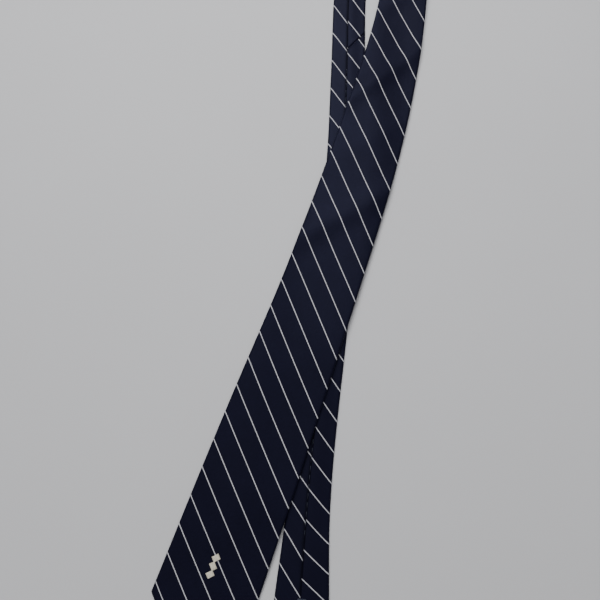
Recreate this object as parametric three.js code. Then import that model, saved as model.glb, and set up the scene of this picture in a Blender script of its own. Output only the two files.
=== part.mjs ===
// A silk necktie folded once at the neck and laid flat. The front blade lies on top with its face up,
// the tail lies beneath it with its seamed back up, and the two cross like a narrow X.
// Millimetres, +Z up, +X to the right and +Y towards the fold. The table is the plane z = 0.
//
// Each leg has its own coordinates: a distance from its pointed tip along a curved centreline, an offset
// u across it (positive towards +X), and a depth from the face of the silk towards the seamed back.
import * as THREE from "three";

// ---------------------------------------------------------------- driving dimensions

const SILK = 0.5; // the shell cloth with its folded stiffness
const GAP = 0.3; // air between two layers that touch
const INTERLINING = 1.2;
const TIPPING = 0.25;
const OVERLAP = 6; // how far the left flap and the right flap pass over each other at the centre seam
const HEM = 14; // the turned edge of a tip, measured across the leg

const BLADE_WIDTHS = [[0, 0], [40, 80], [140, 76], [300, 65.6], [460, 57.5], [592, 43.4], [680, 34], [770, 31]];
const TAIL_WIDTHS = [[0, 0], [22.5, 45], [52, 41.4], [98, 35.6], [240, 34], [420, 32], [565, 29.8], [770, 31]];

const BLADE_LINE = [
  [-94, -365], [-58, -268], [-22, -170], [16.5, -66], [51.5, 36], [77.5, 126], [92.2, 196], [98.5, 259],
  [94.9, 314], [78.5, 359],
];
const TAIL_LINE = [
  [-5, -365], [2.4, -267], [12.2, -170], [25.2, -66], [36.2, 36], [40.6, 126], [43.2, 196], [48.5, 259],
  [57, 314], [73.4, 359],
];

const TURN_RADIUS = 4.5; // of the middle of the cloth where the neck folds over
const BLADE_HINGE = 112; // the tip turns up across this line, measured from the blade's tip
const TAIL_HINGE = 75;
const BLADE_OPEN = 92; // the centre seam is tacked shut here and spreads open below
const TAIL_OPEN = 46;
const BLADE_CORNER = 40; // the widest place of each tip
const TAIL_CORNER = 22.5;
const TAIL_JOIN = 516; // the bias seams that join the neck panel to the two end panels
const BLADE_JOIN = 712;
const JOIN_ROOM = 1;

const KEEPER = { from: 158, to: 172, bandHalf: 17, tabHalf: 23, cloth: 0.8 };
const LABEL = { from: 195, to: 217, half: 21, cloth: 0.3 };
const CARE_LABEL = { from: 224, to: 252, half: 8, cloth: 0.25 };
const MOTIF = { centre: 74, u: -2, half: 4, lozenge: 6.4, lozenges: 3, waist: 0.9, thread: 0.3 };
const THREAD = 0.4;

// ---------------------------------------------------------------- layers, as depths from the face

const FACE_MIDDLE = SILK / 2;
const INTERLINING_TOP = SILK + GAP;
const INTERLINING_BACK = INTERLINING_TOP + INTERLINING;
const TIPPING_TOP = INTERLINING_BACK + GAP;
const TIPPING_BACK = TIPPING_TOP + TIPPING;
const FLAP_MIDDLE = INTERLINING_BACK + GAP + SILK / 2; // along the leg
const TIP_FLAP_MIDDLE = TIPPING_BACK + GAP + SILK / 2; // over the tipping
const STEP = SILK + GAP; // the upper flap stands this much further out where it crosses the lower one
const THICKNESS = FLAP_MIDDLE + STEP + SILK / 2;
const BACK = THICKNESS + GAP; // where what is sewn on the back begins
const TURN_HEIGHT = TURN_RADIUS + THICKNESS / 2;

const FACE_OVER_TAIL = 8.2; // height of the blade's face where the tail lies under it
const FACE_AT_TIP = 3.5;

// ---------------------------------------------------------------- a leg and its coordinates

const { lerp, smoothstep, clamp } = THREE.MathUtils;

function profile(knots) {
  return (x) => {
    const i = clamp(knots.findIndex(([at]) => at >= x), 1, knots.length - 1);
    const [[x0, y0], [x1, y1]] = [knots[i - 1], knots[i]];
    return lerp(y0, y1, (x - x0) / (x1 - x0));
  };
}

function makeLeg({ line, widths, side, face, hinge, open, corner }) {
  const points = line.map(([x, y]) => new THREE.Vector3(x, y, 0));
  const curve = new THREE.CatmullRomCurve3(points, false, "catmullrom", 0.5);
  curve.arcLengthDivisions = 600;
  const length = curve.getLength();
  const end = curve.getTangentAt(1);
  const apex = length + ((Math.PI / 2) * TURN_RADIUS) / end.y;
  return { curve, width: profile(widths), side, face, hinge, open, corner, length, end, apex };
}

const blade = makeLeg({
  line: BLADE_LINE,
  widths: BLADE_WIDTHS,
  side: 1,
  face: (distance) =>
    lerp(FACE_AT_TIP, FACE_OVER_TAIL, smoothstep(distance, 30, 140)) +
    (2 * TURN_HEIGHT - FACE_OVER_TAIL) * smoothstep(distance, 600, 710),
  hinge: BLADE_HINGE,
  open: BLADE_OPEN,
  corner: BLADE_CORNER,
});

const tail = makeLeg({
  line: TAIL_LINE,
  widths: TAIL_WIDTHS,
  side: -1,
  face: () => 0,
  hinge: TAIL_HINGE,
  open: TAIL_OPEN,
  corner: TAIL_CORNER,
});

const SQUARED = 40; // over this length the cross lines turn parallel to the fold

function place(leg, distance, u, depth) {
  const share = clamp(distance / leg.length, 0, 1);
  const middle = leg.curve.getPointAt(share);
  const along = leg.curve.getTangentAt(share);
  const squared = smoothstep(distance, leg.length - SQUARED, leg.length);
  const x = middle.x + lerp(along.y, 1 / along.y, squared) * u;
  const y = middle.y - lerp(along.x, 0, squared) * u;
  const past = Math.max(0, distance - leg.length);
  if (past === 0) return new THREE.Vector3(x, y, leg.face(distance) - leg.side * depth);
  const angle = (past * leg.end.y) / TURN_RADIUS;
  const radius = TURN_HEIGHT - depth;
  return new THREE.Vector3(
    x + leg.end.x * past,
    y + radius * Math.sin(angle),
    TURN_HEIGHT + leg.side * radius * Math.cos(angle),
  );
}

// ---------------------------------------------------------------- closed solids

function closedGeometry(points, faces) {
  const geometry = new THREE.BufferGeometry().setFromPoints(points);
  const volume = faces.reduce((sum, [a, b, c]) => {
    const cross = new THREE.Vector3().crossVectors(points[b], points[c]);
    return sum + points[a].dot(cross);
  }, 0);
  geometry.setIndex(faces.flatMap(([a, b, c]) => (volume > 0 ? [a, b, c] : [a, c, b])));
  geometry.computeVertexNormals();
  return geometry;
}

// The triangles that fill an outline, all turning the same way as the outline's own corners.
function fill(outline) {
  const corners = outline.map(([u, v]) => new THREE.Vector2(u, v));
  const faces = THREE.ShapeUtils.triangulateShape(corners, []);
  const area = faces.reduce((sum, face) => sum + THREE.ShapeUtils.area(face.map((k) => corners[k])), 0);
  const same = area > 0 === THREE.ShapeUtils.area(corners) > 0;
  return same ? faces : faces.map(([a, b, c]) => [a, c, b]);
}

// A solid swept along a leg: section(distance) gives the same number of [u, depth] corners at each station.
function sweep(leg, stations, section) {
  const rings = stations.map((distance) => section(distance));
  const size = rings[0].length;
  const points = rings.flatMap((ring, i) => ring.map(([u, depth]) => place(leg, stations[i], u, depth)));
  const faces = [];
  for (let i = 0; i + 1 < rings.length; i++)
    for (let j = 0; j < size; j++) {
      const [a, b] = [i * size + j, i * size + ((j + 1) % size)];
      faces.push([a, b, b + size], [a, b + size, a + size]);
    }
  const last = (rings.length - 1) * size;
  faces.push(...fill(rings[0]).map(([a, b, c]) => [a, c, b]));
  faces.push(...fill(rings.at(-1)).map((face) => face.map((k) => k + last)));
  return closedGeometry(points, faces);
}

// A flat patch on a leg: an outline of [u, distance] corners between two depths.
function patch(leg, outline, top, back) {
  const size = outline.length;
  const points = [top, back].flatMap((depth) => outline.map(([u, distance]) => place(leg, distance, u, depth)));
  const faces = outline.flatMap((_, j) => {
    const k = (j + 1) % size;
    return [[j, k, k + size], [j, k + size, j + size]];
  });
  const flat = fill(outline);
  faces.push(...flat.map(([a, b, c]) => [a, c, b]));
  faces.push(...flat.map((face) => face.map((k) => k + size)));
  return closedGeometry(points, faces);
}

function spread(from, to, step) {
  const count = Math.max(1, Math.round((to - from) / step));
  return Array.from({ length: count + 1 }, (_, i) => lerp(from, to, i / count));
}

const box = (left, right, top, back) => [[left, top], [right, top], [right, back], [left, back]];

// ---------------------------------------------------------------- the folded shell

const FOLD_STEPS = 4; // facets round each folded edge

function offsetPath(path, distance) {
  return path.map(([u, depth], i) => {
    const [u0, d0] = path[Math.max(0, i - 1)];
    const [u1, d1] = path[Math.min(path.length - 1, i + 1)];
    const length = Math.hypot(u1 - u0, d1 - d0);
    return [u + ((d1 - d0) / length) * distance, depth - ((u1 - u0) / length) * distance];
  });
}

// The edges of the two flaps: past each other along the leg, spreading to the corners at the tip.
function flapEdge(leg, distance) {
  const half = leg.width(distance) / 2;
  const hemmed = Math.max(half - HEM, 0.18);
  if (distance <= leg.corner) return Math.min(hemmed, half * 0.5);
  const atCorner = leg.width(leg.corner) / 2 - HEM;
  return lerp(atCorner, -OVERLAP / 2, clamp((distance - leg.corner) / (leg.open - leg.corner), 0, 1));
}

function shellSection(leg, distance) {
  const half = leg.width(distance) / 2;
  const overTipping = 1 - smoothstep(distance, leg.hinge, leg.hinge + 28);
  const wanted = lerp(FLAP_MIDDLE, TIP_FLAP_MIDDLE, overTipping);
  const radius = Math.min((wanted - FACE_MIDDLE) / 2, half * 0.5);
  const centre = FACE_MIDDLE + radius;
  const flap = FACE_MIDDLE + 2 * radius;
  const inner = half - radius - SILK / 2;
  const edge = Math.min(flapEdge(leg, distance), inner * 0.7);
  const crossed = distance > leg.corner ? 1 - smoothstep(edge, 0.5, 5) : 0;
  const outer = flap + STEP * crossed;
  const bend = (side) =>
    Array.from({ length: FOLD_STEPS + 1 }, (_, i) => {
      const angle = (Math.PI * i) / FOLD_STEPS;
      return [side * (inner + radius * Math.sin(angle)), centre + radius * Math.cos(angle)];
    });
  const stepBack = lerp(lerp(edge, inner, 0.3), OVERLAP / 2 + 1.8, crossed);
  const stepFront = lerp(lerp(edge, inner, 0.6), OVERLAP / 2 + 5, crossed);
  const middle = [
    [-edge, flap],
    ...bend(-1),
    ...bend(1).reverse(),
    [stepFront, flap],
    [stepBack, outer],
    [edge, outer],
  ];
  return [...offsetPath(middle, SILK / 2), ...offsetPath(middle, -SILK / 2).reverse()];
}

const shell = (leg, from, to, step) =>
  sweep(leg, spread(from, to, step), (distance) => shellSection(leg, distance));

function tipStations(leg) {
  return [1.5, 4, 8, ...spread(14, leg.corner, 9), ...spread(leg.corner + 8, leg.hinge - GAP / 2, 9)];
}

const tipShell = (leg) => sweep(leg, tipStations(leg), (distance) => shellSection(leg, distance));

const INSET = 1.9; // how far the inner layers stay from a folded edge

function layer(leg, stations, top, back, inset = INSET) {
  return sweep(leg, stations, (distance) => {
    const half = leg.width(distance) / 2 - inset;
    return box(-half, half, top, back);
  });
}

function innerTipStations(leg, from, to) {
  return [from, ...spread(leg.corner * 0.5, leg.corner, 10), ...spread(leg.corner + 10, to, 14)];
}

// ---------------------------------------------------------------- small pieces

function lozengeOutline() {
  const right = [];
  const bottom = MOTIF.centre - (MOTIF.lozenges * MOTIF.lozenge) / 2;
  for (let i = 0; i < MOTIF.lozenges; i++) {
    right.push([MOTIF.waist / 2, bottom + i * MOTIF.lozenge], [MOTIF.half, bottom + (i + 0.5) * MOTIF.lozenge]);
  }
  right.push([MOTIF.waist / 2, bottom + MOTIF.lozenges * MOTIF.lozenge]);
  const left = right.map(([u, distance]) => [-u, distance]).reverse();
  return [...right, ...left].map(([u, distance]) => [u + MOTIF.u, distance]);
}

// A hairpin of spare thread that lets the seam give, lying on the tipping below the bar tack.
function hairpinOutline(leg) {
  const [half, reach, steps] = [1.6, 11, 8];
  const top = leg.open - 9;
  const arc = (radius) =>
    Array.from({ length: steps + 1 }, (_, i) => {
      const angle = (Math.PI * i) / steps;
      return [radius * Math.cos(angle), top - reach - radius * Math.sin(angle)];
    });
  const outer = [[half, top], ...arc(half), [-half, top]];
  const inner = [[-half + THREAD, top], ...arc(half - THREAD).reverse(), [half - THREAD, top]];
  return [...outer, ...inner];
}

function keeperTab(side) {
  const { from, to, bandHalf, tabHalf, cloth } = KEEPER;
  const rise = STEP; // the tab steps in from the band's level to the single flap beside the seam
  const tab = [
    [side * (bandHalf + GAP), BACK],
    [side * tabHalf, BACK - rise],
    [side * tabHalf, BACK - rise + cloth],
    [side * (bandHalf + GAP), BACK + cloth],
  ];
  return sweep(blade, spread(from, to, 7), () => tab);
}

function slipStitch(leg, from, to) {
  const right = -OVERLAP / 2 - GAP;
  const top = FLAP_MIDDLE + SILK / 2 + GAP;
  return sweep(leg, spread(from, to, 25), () => box(right - THREAD, right, top, top + THREAD));
}

function joinStitches(leg, distance) {
  const half = leg.width(distance) / 2 - 3;
  return sweep(leg, [distance - 0.2, distance + 0.2], () => box(-half, half, 0.05, 0.45));
}

function barTack(leg) {
  const top = TIP_FLAP_MIDDLE + STEP + SILK / 2 + GAP;
  return sweep(leg, spread(leg.open + 1, leg.open + 3, 1), () => box(-3.5, 3.5, top, top + THREAD));
}

// ---------------------------------------------------------------- finishes and assembly

const finish = (color, roughness) => new THREE.MeshStandardMaterial({ color, roughness, metalness: 0 });
const navySilk = finish(0x262c3e, 0.55);
const wool = finish(0xe6e0d2, 0.95);
const tippingSilk = finish(0x1b2030, 0.45);
const labelSatin = finish(0x20242e, 0.5);
const careSatin = finish(0xeeece6, 0.55);
const navyThread = finish(0x2a3046, 0.7);
const creamThread = finish(0xd9cfb4, 0.5);

const necktie = new THREE.Group();
function add(name, geometry, material) {
  const mesh = new THREE.Mesh(geometry, material);
  mesh.name = name;
  necktie.add(mesh);
}

const CLEAR = GAP / 2; // each side of a split keeps half of the gap

const LAYERS_FROM = 8; // the inner layers stop this far short of a tip
for (const [name, leg] of [["blade", blade], ["tail", tail]]) {
  add(`${name}_tip_shell`, tipShell(leg), navySilk);
  add(
    `${name}_tip_interlining`,
    layer(leg, innerTipStations(leg, LAYERS_FROM, leg.hinge - CLEAR), INTERLINING_TOP, INTERLINING_BACK),
    wool,
  );
  add(
    `${name}_tipping`,
    layer(leg, innerTipStations(leg, LAYERS_FROM, leg.open + 10), TIPPING_TOP, TIPPING_BACK, INSET + 0.5),
    tippingSilk,
  );
  add(`${name}_bar_tack`, barTack(leg), navyThread);
}

add("blade_shell", shell(blade, BLADE_HINGE + CLEAR, BLADE_JOIN - JOIN_ROOM / 2, 24), navySilk);
add("blade_join_stitches", joinStitches(blade, BLADE_JOIN), navyThread);
add("blade_slip_stitch", slipStitch(blade, BLADE_HINGE + 29, BLADE_JOIN - 2), navyThread);
add("tail_shell", shell(tail, TAIL_HINGE + CLEAR, TAIL_JOIN - JOIN_ROOM / 2, 24), navySilk);
add("tail_join_stitches", joinStitches(tail, TAIL_JOIN), navyThread);
add("tail_slip_stitch", slipStitch(tail, TAIL_HINGE + 29, TAIL_JOIN - 2), navyThread);

for (const [name, leg, join] of [["blade", blade, BLADE_JOIN], ["tail", tail, TAIL_JOIN]]) {
  const flat = spread(join + JOIN_ROOM / 2, leg.length, 20);
  const turn = spread(leg.length, leg.apex - CLEAR / leg.end.y, 1.9).slice(1);
  const neck = (distance) => shellSection(leg, distance);
  add(`neck_shell_${name}_side`, sweep(leg, [...flat, ...turn], neck), navySilk);
  const wholeLeg = [...spread(leg.hinge + CLEAR, leg.length, 24), ...turn];
  add(`${name}_interlining`, layer(leg, wholeLeg, INTERLINING_TOP, INTERLINING_BACK), wool);
}

const band = box(-KEEPER.bandHalf, KEEPER.bandHalf, BACK, BACK + KEEPER.cloth);
add("keeper_band", sweep(blade, spread(KEEPER.from, KEEPER.to, 7), () => band), navySilk);
add("keeper_tab_left", keeperTab(-1), navySilk);
add("keeper_tab_right", keeperTab(1), navySilk);

const labelSection = box(-LABEL.half, LABEL.half, BACK, BACK + LABEL.cloth);
add("maker_label", sweep(blade, spread(LABEL.from, LABEL.to, 11), () => labelSection), labelSatin);
for (const [name, side] of [["left", -1], ["right", 1]]) {
  const [near, far] = [LABEL.half - 1.2, LABEL.half - 0.6].map((u) => side * u);
  const tack = box(Math.min(near, far), Math.max(near, far), BACK - STEP, BACK - GAP);
  add(`label_tack_${name}`, sweep(blade, spread(LABEL.from + 1, LABEL.to - 1, 10), () => tack), navyThread);
}
const careSection = box(-CARE_LABEL.half, CARE_LABEL.half, BACK, BACK + CARE_LABEL.cloth);
add("care_label", sweep(blade, spread(CARE_LABEL.from, CARE_LABEL.to, 14), () => careSection), careSatin);

add("embroidered_motif", patch(blade, lozengeOutline(), -GAP - MOTIF.thread, -GAP), creamThread);
add(
  "spare_thread_loop",
  patch(blade, hairpinOutline(blade), TIPPING_BACK + GAP, TIPPING_BACK + GAP + THREAD),
  navyThread,
);

export default necktie;
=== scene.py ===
"""A striped silk necktie, folded once at the neck and laid flat: front blade on top, tail beneath.

Sizes are in millimetres, as a tie maker measures, and every mesh is written in metres. Each leg has its own
coordinates: a distance from its pointed tip along a curved centreline, an offset u across it (positive
towards +X) and a depth from the face of the silk towards the seamed back.
"""

from __future__ import annotations

import logging
import math
from collections.abc import Sequence
from dataclasses import dataclass, field, replace
from enum import Enum
from functools import cached_property

import bpy
import numpy as np
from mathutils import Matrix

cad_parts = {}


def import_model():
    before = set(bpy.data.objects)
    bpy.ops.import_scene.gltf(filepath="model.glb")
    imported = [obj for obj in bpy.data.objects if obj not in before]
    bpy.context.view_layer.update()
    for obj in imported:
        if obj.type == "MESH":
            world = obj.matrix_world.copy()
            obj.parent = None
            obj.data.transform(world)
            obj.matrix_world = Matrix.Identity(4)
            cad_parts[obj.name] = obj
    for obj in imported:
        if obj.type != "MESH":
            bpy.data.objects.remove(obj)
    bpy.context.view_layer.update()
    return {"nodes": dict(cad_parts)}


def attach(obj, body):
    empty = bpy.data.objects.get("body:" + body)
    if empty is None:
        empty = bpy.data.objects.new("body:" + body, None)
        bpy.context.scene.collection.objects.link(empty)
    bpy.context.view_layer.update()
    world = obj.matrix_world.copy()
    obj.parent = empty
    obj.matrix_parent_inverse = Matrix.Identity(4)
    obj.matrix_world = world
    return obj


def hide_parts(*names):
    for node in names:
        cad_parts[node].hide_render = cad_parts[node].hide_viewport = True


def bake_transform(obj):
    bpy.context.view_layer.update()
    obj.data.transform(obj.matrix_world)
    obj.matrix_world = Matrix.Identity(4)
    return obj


LOG = logging.getLogger("necktie")
MM = 0.001
Array = np.ndarray
Point = tuple[float, float, float]


# ------------------------------------------------------------------ numbers and curves


def smoothstep(x: Array | float, low: float, high: float) -> Array:
    """Rise smoothly from 0 at low to 1 at high.

    Args:
        x: Where to read the step.
        low: Where it starts.
        high: Where it ends.

    Returns:
        The step's height at each x.
    """
    t = np.clip((np.asarray(x, float) - low) / (high - low), 0.0, 1.0)
    return t * t * (3.0 - 2.0 * t)


def mix(a: Array | float, b: Array | float, share: Array | float) -> Array:
    """Blend from a to b by share."""
    return a + (b - a) * share


def hermite(t: Array, start: Array, end: Array, leave: Array, arrive: Array) -> Array:
    """Run smoothly between two ends.

    Args:
        t: How far along, from 0 to 1.
        start: Value at the start.
        end: Value at the end.
        leave: Slope at the start.
        arrive: Slope at the end.

    Returns:
        The values at t.
    """
    return (
        (2 * t**3 - 3 * t**2 + 1) * start
        + (t**3 - 2 * t**2 + t) * leave
        + (3 * t**2 - 2 * t**3) * end
        + (t**3 - t**2) * arrive
    )


def catmull_rom(points: Sequence[Sequence[float]], steps: int = 200) -> Array:
    """Sample the smooth curve that passes through a few points.

    Args:
        points: The points that the curve passes through.
        steps: Samples in each span.

    Returns:
        The curve's samples, one row each.
    """
    p = np.array(points, float)
    p = np.vstack([2 * p[0] - p[1], p, 2 * p[-1] - p[-2]])
    t = np.linspace(0.0, 1.0, steps, endpoint=False)[:, None]
    spans = []
    for before, start, end, after in zip(p[:-3], p[1:-2], p[2:-1], p[3:]):
        leave, arrive = (end - before) / 2, (after - start) / 2
        spans.append(hermite(t, start, end, leave, arrive))
    return np.vstack([*spans, p[-2][None]])


def through_knots(at: Array, value: Array, x: Array) -> Array:
    """Read a smooth curve that passes through knots.

    Args:
        at: Where the knots are.
        value: Their values.
        x: Where to read the curve.

    Returns:
        The curve's values at x.
    """
    slope = np.gradient(value, at)
    i = np.clip(np.searchsorted(at, x) - 1, 0, len(at) - 2)
    span = at[i + 1] - at[i]
    t = np.clip((x - at[i]) / span, 0.0, 1.0)
    return hermite(t, value[i], value[i + 1], span * slope[i], span * slope[i + 1])


def area_between(at: Array, wide: Array) -> float:
    """Area in square metres of a strip whose width is known at places along it, in millimetres."""
    return float(np.sum((wide[1:] + wide[:-1]) / 2 * np.diff(at))) * MM * MM


class Side(Enum):
    """Which way the face of a leg looks."""

    FACE_UP = 1
    FACE_DOWN = -1


# ------------------------------------------------------------------ the cloth and its layers


@dataclass(frozen=True)
class Layers:
    """Depths of the layers of the tie below its face.

    Attributes:
        silk: Thickness of the shell cloth.
        gap: Air between two layers.
        canvas: Thickness of the interlining.
        lining: Thickness of the tip lining.
        turn_radius: Radius of the middle of the tie where the neck folds over.
    """

    silk: float = 0.5
    gap: float = 0.3
    canvas: float = 1.2
    lining: float = 0.25
    turn_radius: float = 4.5

    @property
    def face(self) -> float:
        """Middle of the face cloth."""
        return self.silk / 2

    @property
    def canvas_top(self) -> float:
        """Face side of the interlining."""
        return self.silk + self.gap

    @property
    def lining_top(self) -> float:
        """Face side of the tip lining."""
        return self.canvas_top + self.canvas + self.gap

    @property
    def flap(self) -> float:
        """Middle of a single flap along the leg."""
        return self.lining_top + self.silk / 2

    @property
    def tip_flap(self) -> float:
        """Middle of a single flap over the tip lining."""
        return self.flap + self.lining + self.gap

    @property
    def step(self) -> float:
        """How much further out the upper flap stands where it crosses the lower one."""
        return self.silk + self.gap

    @property
    def thickness(self) -> float:
        """Whole thickness of a leg at its centre seam."""
        return self.flap + self.step + self.silk / 2

    @property
    def turn_height(self) -> float:
        """Height of the centre of the fold at the neck."""
        return self.turn_radius + self.thickness / 2


LAYERS = Layers()
BACK = LAYERS.thickness + LAYERS.gap  # depth of what is sewn on the back of the blade
SEAM_EDGE = -1.2  # offset of the edge of the upper flap


@dataclass(frozen=True)
class StripeLaw:
    """How many stripes lie before a place on a panel's face.

    The cloth is cut on the bias and gives as the tie narrows, so the stripes stand steeper towards the neck.

    Attributes:
        start: The count at the panel's zero distance.
        along: Stripes in each millimetre along the leg.
        easing: How that changes with distance.
        across: Stripes in each millimetre across the leg.
        shear: How that changes with distance.
        origin: The distance that the law starts from.
    """

    start: float
    along: float
    easing: float
    across: float
    shear: float
    origin: float = 0.0

    def count(self, distance: Array, u: Array) -> Array:
        """Count the stripes at a place on the unfolded cloth."""
        s = distance - self.origin
        return self.start + s * (self.along + self.easing * s) + u * (self.across + self.shear * s)


STRIPE_PITCH = 16.4


@dataclass(frozen=True)
class Ripple:
    """A soft slanting swell in the cloth.

    Attributes:
        distance: Where its crest crosses the centreline.
        slant: How far it runs along the leg for each millimetre across.
        rise: Its height.
        spread: Its half width along the leg.
        u: Where it is strongest across the leg.
        reach: Its half width across the leg.
        bow: How far it bends back, for each square millimetre across.
    """

    distance: float
    slant: float
    rise: float
    spread: float
    u: float = 0.0
    reach: float = 200.0
    bow: float = 0.0

    def height(self, distance: Array, u: Array) -> Array:
        """Height that the swell adds."""
        bent = self.bow * (u - self.u) ** 2
        along = (distance - self.distance - self.slant * u + bent) / self.spread
        across = (u - self.u) / self.reach
        return self.rise * np.exp(-(along**2) - across**2)


@dataclass(frozen=True)
class Leg:
    """One leg of the folded tie and its coordinates.

    Attributes:
        body: The frame's body that it belongs to.
        line: Points of the centreline from the tip to the fold, seen from above.
        widths: Pairs of distance and width.
        side: Which way the face looks.
        hinge: Where the tip turns up.
        opening: Where the centre seam is tacked shut.
        corner: Where the tip is widest.
        tip_face: Height of the face at the tip.
        bed_face: Height of the face where it passes over the other leg.
        ripples: Soft swells of the cloth.
        sag: How far the cloth sinks beside the leg that it lies on.
        squared: Over this length the cross lines turn parallel to the fold.
        run_on: How far the legs run on side by side before the fold turns.
        tip_climb: Where the upper leg climbs onto the lower one.
        fold_climb: Where the upper leg climbs to the fold.
    """

    body: str
    line: tuple[tuple[float, float], ...]
    widths: tuple[tuple[float, float], ...]
    side: Side
    hinge: float
    opening: float
    corner: float
    tip_face: float = 0.0
    bed_face: float = 0.0
    ripples: tuple[Ripple, ...] = ()
    sag: float = 0.0
    squared: float = 40.0
    run_on: float = 2.0
    tip_climb: tuple[float, float] = (30.0, 140.0)
    fold_climb: tuple[float, float] = (560.0, 668.0)

    @cached_property
    def _curve(self) -> tuple[Array, Array, Array]:
        """Centreline samples, their distances and their directions."""
        points = catmull_rom(self.line)
        distance = np.concatenate([[0.0], np.cumsum(np.hypot(*np.diff(points, axis=0).T))])
        direction = np.gradient(points, distance, axis=0)
        return points, distance, direction / np.linalg.norm(direction, axis=1)[:, None]

    @cached_property
    def length(self) -> float:
        """Length of the centreline from the tip to where the fold begins."""
        return float(self._curve[1][-1])

    @cached_property
    def end(self) -> Array:
        """Direction of the centreline at the fold."""
        last = self._curve[0][-1] - self._curve[0][-2]
        return last / np.linalg.norm(last)

    @property
    def apex(self) -> float:
        """Distance of the outermost line of the fold."""
        return self.length + (self.quarter_turn + self.run_on) / self.end[1]

    @property
    def quarter_turn(self) -> float:
        """Length of half of the fold, along the middle of the tie."""
        return math.pi / 2 * LAYERS.turn_radius

    def middle_x(self, y: Array) -> Array:
        """Where the centreline lies across the table, at places along it."""
        points = self._curve[0]
        return np.interp(y, points[:, 1], points[:, 0])

    def half(self, distance: Array) -> Array:
        """Half of the leg's width, which grows straight from the tip to its corner."""
        at, width = np.array(self.widths).T
        beyond = through_knots(at[1:], width[1:], distance)
        return np.where(distance < at[1], np.interp(distance, at[:2], width[:2]), beyond) / 2

    def lean(self, distance: Array) -> Array:
        """Change of the half width along the leg, which is the slope of its edges."""
        near = np.maximum(distance - 1.0, 0.0)
        return (self.half(distance + 1.0) - self.half(near)) / (distance + 1.0 - near)

    def bed(self, distance: Array) -> Array:
        """Height of the face on the centreline."""
        if self.side is Side.FACE_DOWN:
            return np.zeros_like(distance)
        climb = 2 * LAYERS.turn_height - self.bed_face
        flat = mix(self.tip_face, self.bed_face, smoothstep(distance, *self.tip_climb))
        return flat + climb * smoothstep(distance, *self.fold_climb)

    def swell(self, distance: Array, u: Array) -> Array:
        """Height that the ripples add, fading out at the fold."""
        fade = (self.length - 75, self.length - 55)
        total = sum((ripple.height(distance, u) for ripple in self.ripples), np.zeros_like(distance))
        return total * (1 - smoothstep(distance, *fade))

    def sink(self, distance: Array, x: Array, y: Array) -> Array:
        """How far the cloth sinks towards the table beside the leg beneath it."""
        if self.sag == 0.0:
            return np.zeros_like(distance)
        half_beneath, begins, ends, falls = 17.0, (20, 150), (520, 640), (2, 36)
        beside = np.abs(x - TAIL.middle_x(y)) - half_beneath
        room = smoothstep(distance, *begins) * (1 - smoothstep(distance, *ends))
        return self.sag * room * smoothstep(beside, *falls)

    def place(self, distance: Array, u: Array, depth: Array) -> Array:
        """Turn leg coordinates into places in the frame.

        Args:
            distance: Distance from the tip along the centreline, past its end into the fold.
            u: Offset across the leg.
            depth: Depth from the face.

        Returns:
            One row of x, y and z for each place, in millimetres.
        """
        distance, u, depth = np.broadcast_arrays(*(np.asarray(a, float) for a in (distance, u, depth)))
        points, at, direction = self._curve
        middle = np.stack([np.interp(distance, at, points[:, i]) for i in (0, 1)], -1)
        along = np.stack([np.interp(distance, at, direction[:, i]) for i in (0, 1)], -1)
        past = np.maximum(0.0, distance - self.length)
        along = np.where((past > 0)[..., None], self.end, along)
        square = smoothstep(distance, self.length - self.squared, self.length)
        x = middle[..., 0] + mix(along[..., 1], 1 / along[..., 1], square) * u
        y = middle[..., 1] - mix(along[..., 0], 0.0, square) * u
        ahead = np.minimum(past * self.end[1], self.run_on)
        angle = (past * self.end[1] - ahead) / LAYERS.turn_radius
        drift = self.end[0] * self.quarter_turn / (self.quarter_turn + self.run_on)
        radius = LAYERS.turn_height - depth
        lift = self.swell(distance, u) - self.sink(distance, x, y)
        flat = self.bed(distance) - self.side.value * depth + lift
        turned = LAYERS.turn_height + self.side.value * radius * np.cos(angle)
        z = np.where(past > 0, turned, flat)
        return np.stack([x + drift * past, y + ahead + radius * np.sin(angle), z], -1)


BLADE = Leg(
    body="blade",
    line=(
        (-94, -365), (-58, -268), (-22, -170), (16.5, -66), (51.5, 36), (77.5, 126), (92.2, 196),
        (98.5, 259), (94.9, 314), (78.5, 359),
    ),
    widths=((0, 0), (40, 80), (140, 76), (300, 65.6), (460, 57.5), (592, 43.4), (680, 34), (770, 31)),
    side=Side.FACE_UP,
    hinge=112.0,
    opening=92.0,
    corner=40.0,
    tip_face=3.5,
    bed_face=8.2,
    sag=2.8,
    ripples=(
        Ripple(distance=518, slant=1.25, rise=2.3, spread=14),
        Ripple(distance=449, slant=1.05, rise=0.7, spread=15),
        Ripple(distance=600, slant=1.1, rise=1.6, spread=15),
        Ripple(distance=377, slant=1.05, rise=1.9, spread=15),
        Ripple(distance=250, slant=0.7, rise=0.45, spread=34),
    ),
)  # fmt: skip

TAIL = Leg(
    body="tail",
    line=(
        (-5, -365), (2.4, -267), (12.2, -170), (25.2, -66), (36.2, 36), (40.6, 126), (43.2, 196),
        (48.5, 259), (57, 314), (73.4, 359),
    ),
    widths=((0, 0), (22.5, 45), (52, 41.4), (98, 35.6), (240, 34), (420, 32), (565, 29.8), (770, 31)),
    side=Side.FACE_DOWN,
    hinge=75.0,
    opening=46.0,
    corner=22.5,
    ripples=(
        Ripple(distance=524, slant=0.0, rise=0.55, spread=1.7, u=8.0, reach=9.0, bow=0.13),
        Ripple(distance=530, slant=0.4, rise=0.5, spread=9.0, u=6.0, reach=12.0),
    ),
)  # fmt: skip


# ------------------------------------------------------------------ meshes


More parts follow.
